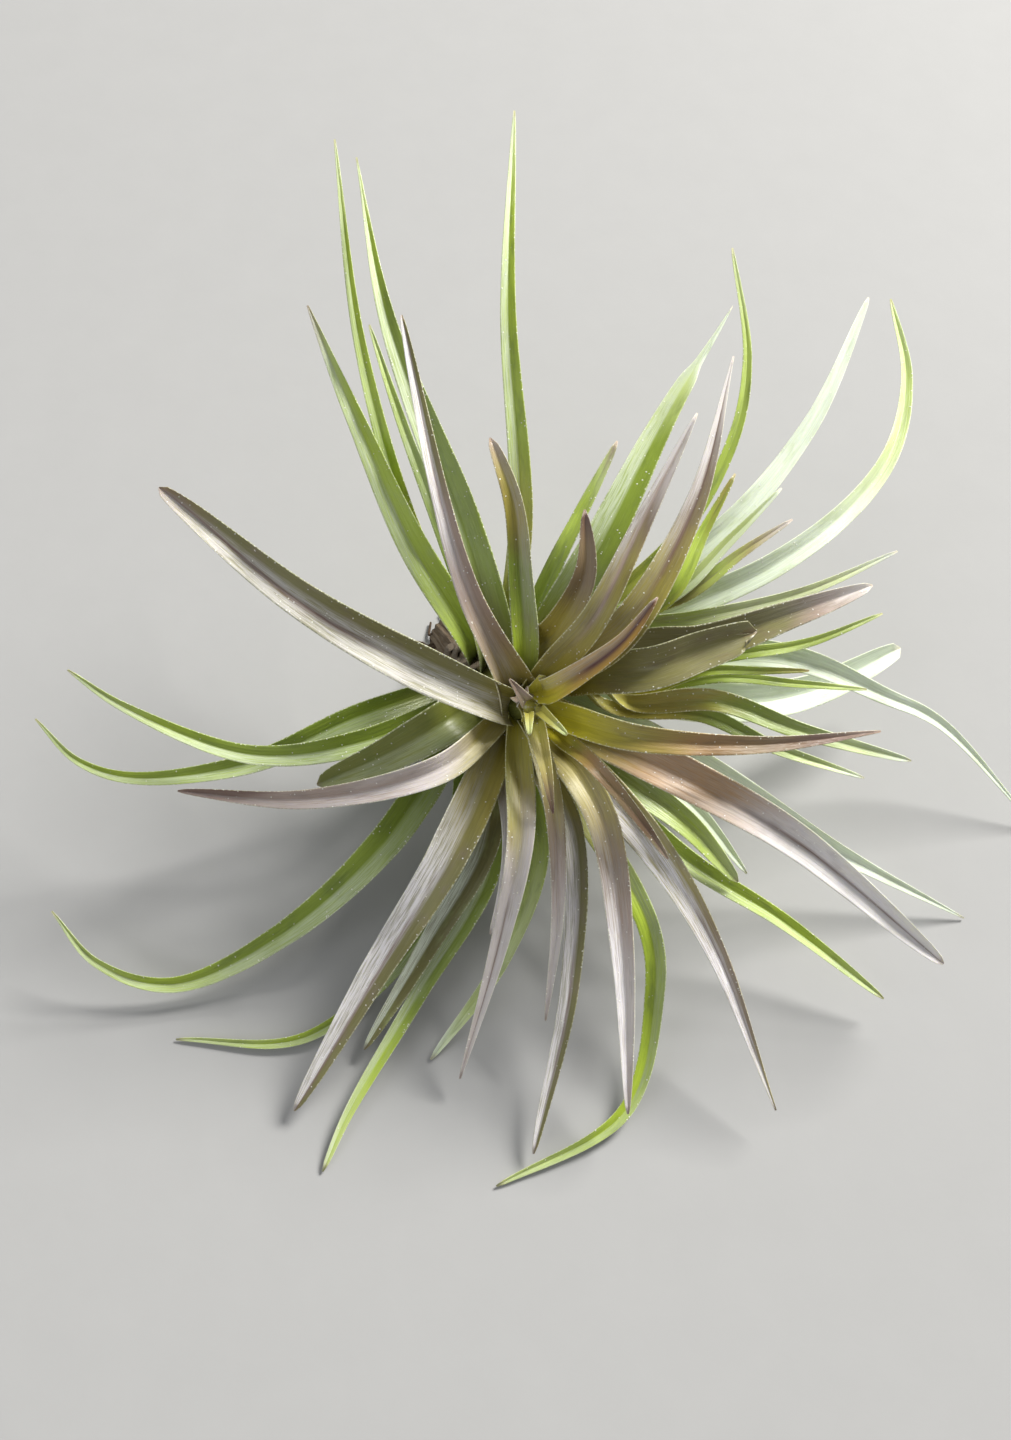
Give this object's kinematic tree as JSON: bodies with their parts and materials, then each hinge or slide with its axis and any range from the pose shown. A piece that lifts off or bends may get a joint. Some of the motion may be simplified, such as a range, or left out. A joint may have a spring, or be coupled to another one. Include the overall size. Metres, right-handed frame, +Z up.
{
  "type": "air plant",
  "caption": "Air plant with a leaning rosette of long channelled leaves and a side fan, lying free on a surface",
  "frame": {"origin": "on the surface, under the middle of the stump", "axes": "+Z up; +Y to the back of the plant, where the top of the picture is; +X to the right"},
  "size_m": [0.1748, 0.1674, 0.0671],
  "materials": {
    "leaf_green": "satin",
    "leaf_pale": "satin",
    "leaf_bronze": "satin",
    "leaf_silver": "satin",
    "heart": "satin",
    "stem": "matte",
    "root": "matte"
  },
  "bodies": {
    "root": {"upper_01": "leaf_green", "upper_02": "leaf_green", "upper_03": "leaf_green", "upper_04": "leaf_pale", "upper_05": "leaf_silver", "upper_06": "leaf_green", "upper_07": "leaf_bronze", "left_01": "leaf_green", "left_02": "leaf_green", "left_03": "leaf_green", "left_04": "leaf_silver", "left_05": "leaf_silver", "left_06": "leaf_green", "lower_01": "leaf_green", "lower_02": "leaf_silver", "lower_03": "leaf_silver", "lower_04": "leaf_bronze", "lower_05": "leaf_bronze", "lower_06": "leaf_silver", "lower_07": "leaf_green", "lower_08": "leaf_pale", "lower_09": "leaf_pale", "lower_10": "leaf_silver", "lower_11": "leaf_green", "right_01": "leaf_green", "right_02": "leaf_green", "right_03": "leaf_bronze", "right_04": "leaf_bronze", "right_05": "leaf_bronze", "right_06": "leaf_green", "right_07": "leaf_pale", "right_08": "leaf_pale", "right_09": "leaf_bronze", "right_10": "leaf_pale", "right_11": "leaf_pale", "right_12": "leaf_bronze", "right_13": "leaf_pale", "right_14": "leaf_silver", "right_15": "leaf_green", "right_16": "leaf_green", "right_17": "leaf_pale", "right_18": "leaf_green", "right_19": "leaf_silver", "right_20": "leaf_green", "right_21": "leaf_bronze", "fan_01": "leaf_green", "fan_02": "leaf_pale", "fan_03": "leaf_bronze", "fan_04": "leaf_silver", "fan_05": "leaf_bronze", "fan_06": "leaf_green", "fan_07": "leaf_green", "fan_08": "leaf_green", "fan_09": "leaf_pale", "fan_10": "leaf_green", "heart": "heart", "stem": "stem", "roots": "root"}
  },
  "joints": []
}
